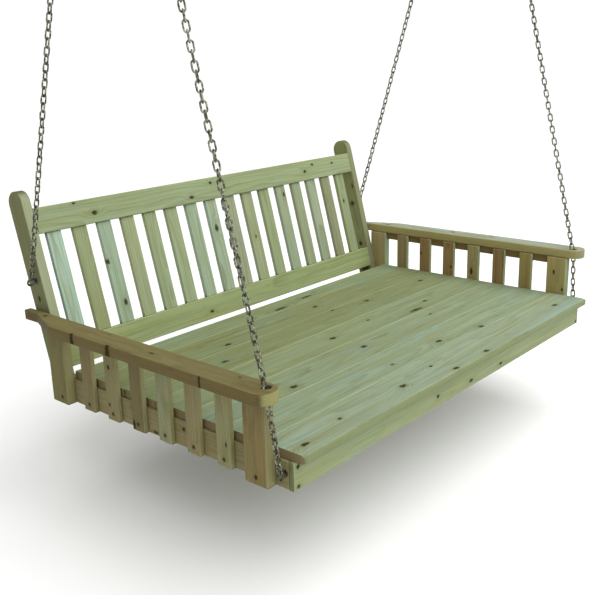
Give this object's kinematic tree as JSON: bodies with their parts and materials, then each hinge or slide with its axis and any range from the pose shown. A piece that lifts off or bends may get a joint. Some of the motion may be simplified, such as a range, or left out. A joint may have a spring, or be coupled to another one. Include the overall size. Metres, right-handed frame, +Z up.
{
  "type": "porch swing seat",
  "caption": "Wide timber porch swing bench with a slatted leaning back, low slatted arms and a flat boarded deck, hung on chains from ceiling hangers.",
  "frame": {"origin": "on the ceiling line, midway between the two ceiling hangers, where their collars meet the ceiling", "axes": "+X along the seat to the sitter's left, which is the right-hand side seen from in front; +Y backwards, away from the way the sitter faces; +Z up, along the hangers' lag screws"},
  "size_m": [2.1, 1.3984, 2.5928],
  "materials": {
    "deck_timber": "preservative-treated softwood, green cast, uncoated",
    "back_timber": "preservative-treated softwood, green cast, uncoated",
    "arm_timber": "preservative-treated softwood, weathered golden brown",
    "chain_steel": "dull zinc-plated, darkened",
    "fitting_steel": "dull zinc-plated, darkened",
    "hanger_steel": "dull zinc-plated",
    "screw_steel": "dark phosphated"
  },
  "bodies": {
    "ceiling_hangers": {"ceiling_hanger_left": "hanger_steel", "ceiling_hanger_right": "hanger_steel"},
    "swing_seat": {"chain_front_left": "chain_steel", "chain_front_right": "chain_steel", "chain_rear_left": "chain_steel", "chain_rear_right": "chain_steel", "eye_bolt_front_left": "fitting_steel", "eye_bolt_front_right": "fitting_steel", "eye_bolt_rear_left": "fitting_steel", "eye_bolt_rear_right": "fitting_steel", "eye_bolt_nuts": "fitting_steel", "eye_bolt_washers": "fitting_steel", "back_post_left": "back_timber", "back_post_right": "back_timber", "back_top_rail": "back_timber", "back_bottom_rail": "back_timber", "back_slat_01": "back_timber", "back_slat_02": "back_timber", "back_slat_03": "back_timber", "back_slat_04": "back_timber", "back_slat_05": "back_timber", "back_slat_06": "back_timber", "back_slat_07": "back_timber", "back_slat_08": "back_timber", "back_slat_09": "back_timber", "back_slat_10": "back_timber", "back_slat_11": "back_timber", "back_slat_12": "back_timber", "back_slat_13": "back_timber", "back_slat_14": "back_timber", "back_slat_15": "back_timber", "back_slat_16": "back_timber", "armrest_left": "arm_timber", "armrest_right": "arm_timber", "arm_front_post_left": "arm_timber", "arm_front_post_right": "arm_timber", "arm_rear_post_left": "arm_timber", "arm_rear_post_right": "arm_timber", "arm_upper_rail_left": "arm_timber", "arm_upper_rail_right": "arm_timber", "arm_slats_left": "arm_timber", "arm_slats_right": "arm_timber", "front_apron": "deck_timber", "rear_apron": "deck_timber", "side_apron_left": "deck_timber", "side_apron_right": "deck_timber", "joist_01": "deck_timber", "joist_02": "deck_timber", "joist_03": "deck_timber", "deck_board_01": "deck_timber", "deck_board_02": "deck_timber", "deck_board_03": "deck_timber", "deck_board_04": "deck_timber", "deck_board_05": "deck_timber", "deck_board_06": "deck_timber", "deck_board_07": "deck_timber", "slat_screws": "screw_steel", "post_screws": "screw_steel", "apron_screws": "screw_steel"}
  },
  "joints": [
    {"name": "swing", "type": "hinge", "parent": "ceiling_hangers", "child": "swing_seat", "pos_m": [0, 0, -0.065], "axis": [1, 0, 0], "range_deg": [-20, 20]}
  ]
}
